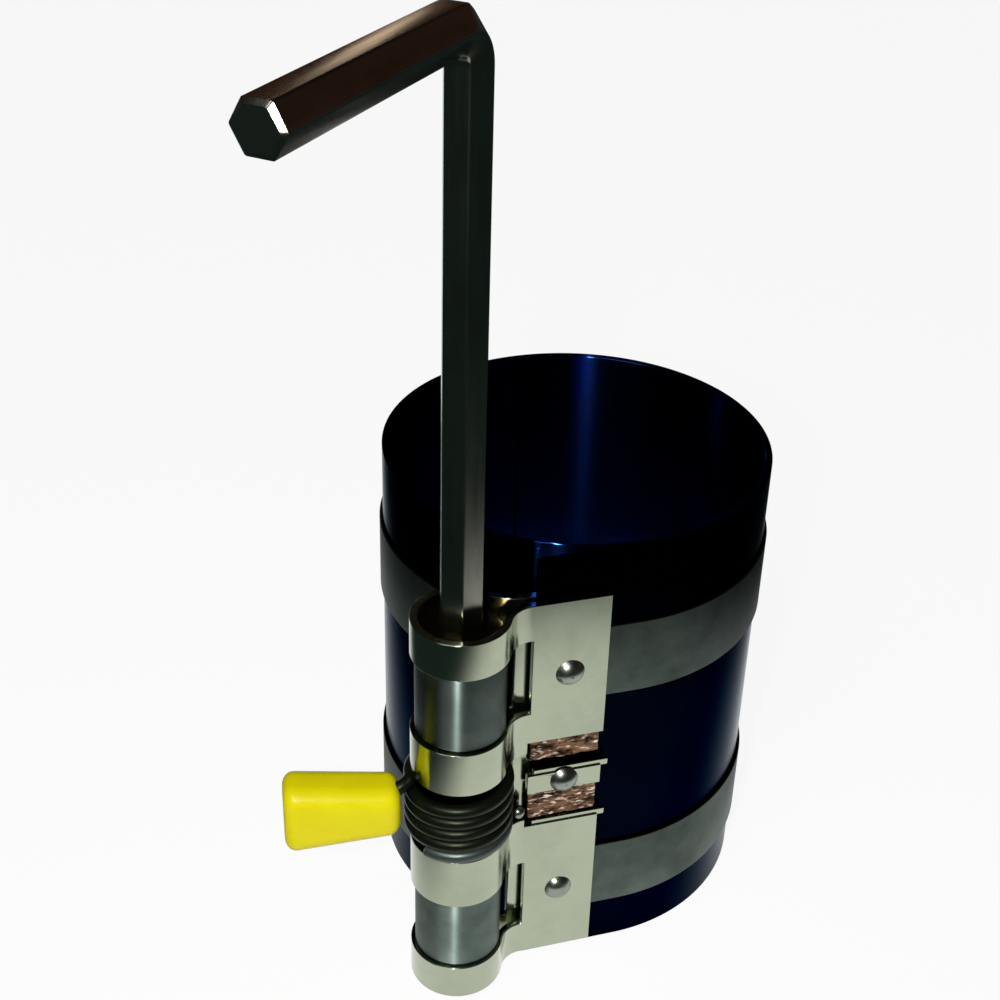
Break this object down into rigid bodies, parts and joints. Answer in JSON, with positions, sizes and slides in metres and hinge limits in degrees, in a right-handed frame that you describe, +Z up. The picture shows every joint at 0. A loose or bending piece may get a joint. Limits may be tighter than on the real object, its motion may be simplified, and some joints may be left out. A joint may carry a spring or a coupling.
{
  "type": "piston ring compressor",
  "caption": "Hand tool with a coiled spring-steel band that two straps draw tight round a piston, wound by a hexagon key in a riveted clasp and freed by a spring lever.",
  "frame": {"origin": "centre of the band's bore, at its lower edge", "axes": "+Z up along the bore, -Y towards the clasp's flange, -X towards the release lever"},
  "size_m": [0.0926, 0.1006, 0.1614],
  "materials": {
    "blued_steel": "heat-blued, glossy",
    "strap_steel": "rolled, satin",
    "nickel_sheet": "nickel-plated, satin bright",
    "rivet_steel": "bright",
    "copper_braze": "rough brazed",
    "passivated_steel": "turned, yellow passivated",
    "key_steel": "drawn, dark nickel-plated",
    "lacquered_wire": "oil-hardened, lacquered",
    "yellow_plastic": "dip-moulded, glossy"
  },
  "bodies": {
    "clasp": {"clasp_housing": "nickel_sheet", "clamp_band": "blued_steel", "upper_strap": "strap_steel", "lower_strap": "strap_steel", "upper_rivet": "rivet_steel", "middle_rivet": "rivet_steel", "lower_rivet": "rivet_steel", "upper_braze": "copper_braze", "lower_braze": "copper_braze", "middle_plate": "nickel_sheet", "anchor_pin": "rivet_steel"},
    "spindle": {"spindle": "passivated_steel", "upper_strap_coil": "strap_steel", "lower_strap_coil": "strap_steel"},
    "key": {"hex_key": "key_steel"},
    "lever": {"wrap_spring": "lacquered_wire", "lever_grip": "yellow_plastic"}
  },
  "joints": [
    {"name": "spindle_turn", "type": "hinge", "parent": "clasp", "child": "spindle", "pos_m": [-0.02798, -0.03295, 0], "axis": [0, 0, 1], "range_deg": [-165, 1710]},
    {"name": "key_lift", "type": "slide", "parent": "spindle", "child": "key", "axis": [0, 0, 1], "range_m": [0, 0.0145]},
    {"name": "lever_release", "type": "hinge", "parent": "clasp", "child": "lever", "pos_m": [-0.02798, -0.03295, 0], "axis": [0, 0, -1], "range_deg": [0, 18], "stiffness_Nm_per_rad": 0.2}
  ]
}
